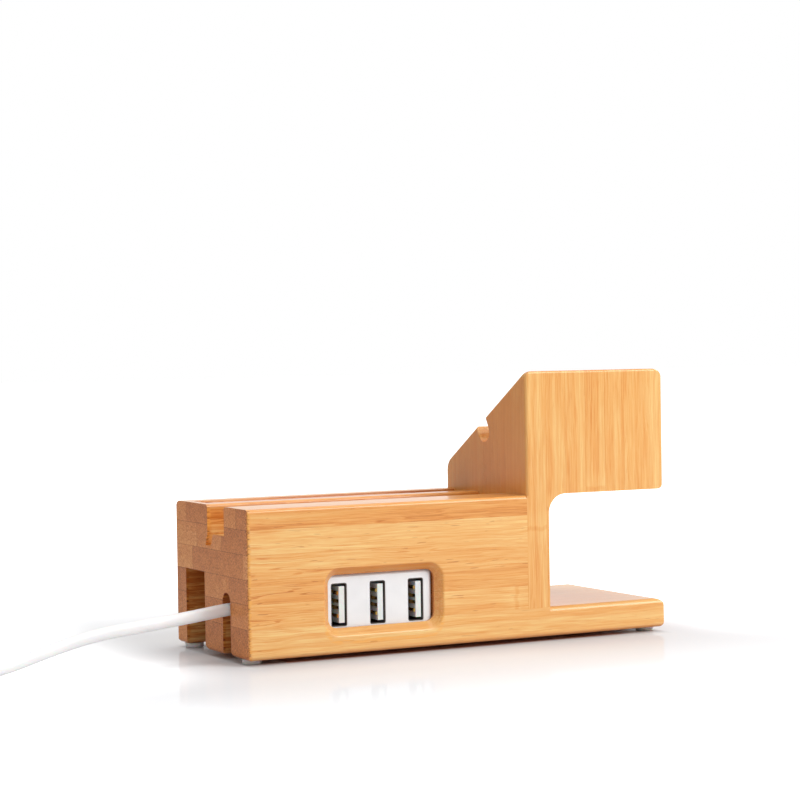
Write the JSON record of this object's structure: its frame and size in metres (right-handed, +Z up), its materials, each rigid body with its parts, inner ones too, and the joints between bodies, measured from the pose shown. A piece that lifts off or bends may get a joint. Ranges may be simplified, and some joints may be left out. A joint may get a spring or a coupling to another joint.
{
  "type": "charging station organizer",
  "caption": "Bamboo charging station with a leaning phone slot, a tablet groove, a watch arm with a puck recess and a built-in hub with upright ports.",
  "frame": {"origin": "on the surface that it stands on, under the middle of the base board", "axes": "+X to the right along the length, towards the watch arm; +Y away from the front with the ports; +Z up"},
  "size_m": [0.3178, 0.0701, 0.0854],
  "materials": {
    "bamboo_board": "varnished bamboo, horizontal grain",
    "bamboo_block": "varnished glued bamboo layers, horizontal grain, brown end grain at the left end",
    "bamboo_stand": "varnished glued bamboo, upright grain",
    "dowel_wood": "plain beech",
    "screw_steel": "zinc-plated steel",
    "pad_silicone": "clear silicone",
    "hub_plastic": "white moulded plastic, half gloss",
    "circuit_laminate": "green solder resist",
    "chip_plastic": "black moulded package",
    "capacitor_can": "bare can",
    "port_metal": "tinned steel sheet",
    "port_plastic": "white nylon",
    "contact_metal": "gold flash over brass",
    "wire_sleeve": "coloured wire insulation",
    "cord_sleeve": "white smooth cable jacket",
    "tie_fabric": "black woven tape",
    "plug_plastic": "white overmould"
  },
  "bodies": {
    "root": {"base_board": "bamboo_board", "hub_cover_plate": "bamboo_board", "block_layer_1": "bamboo_block", "block_layer_2": "bamboo_block", "block_layer_3": "bamboo_block", "block_layer_4": "bamboo_block", "block_top_near": "bamboo_block", "block_top_far": "bamboo_block", "watch_stand": "bamboo_stand", "dowels": "dowel_wood", "stand_screws": "screw_steel", "cover_screws": "screw_steel", "hub_screws": "screw_steel", "pad_1": "pad_silicone", "pad_2": "pad_silicone", "pad_3": "pad_silicone", "pad_4": "pad_silicone", "hub_front_shell": "hub_plastic", "hub_rear_shell": "hub_plastic", "circuit_board": "circuit_laminate", "controller_chip": "chip_plastic", "capacitors": "capacitor_can", "inductor": "chip_plastic", "port_shell_1": "port_metal", "port_insulator_1": "port_plastic", "port_contacts_1": "contact_metal", "port_shell_2": "port_metal", "port_insulator_2": "port_plastic", "port_contacts_2": "contact_metal", "port_shell_3": "port_metal", "port_insulator_3": "port_plastic", "port_contacts_3": "contact_metal", "supply_wires": "wire_sleeve", "strain_relief": "cord_sleeve", "power_cord": "cord_sleeve", "power_cord_coil": "cord_sleeve", "power_cord_tail": "cord_sleeve", "cord_tie": "tie_fabric", "plug_body": "plug_plastic", "plug_shell": "port_metal", "plug_insert": "port_plastic", "plug_contacts": "contact_metal"}
  },
  "joints": []
}
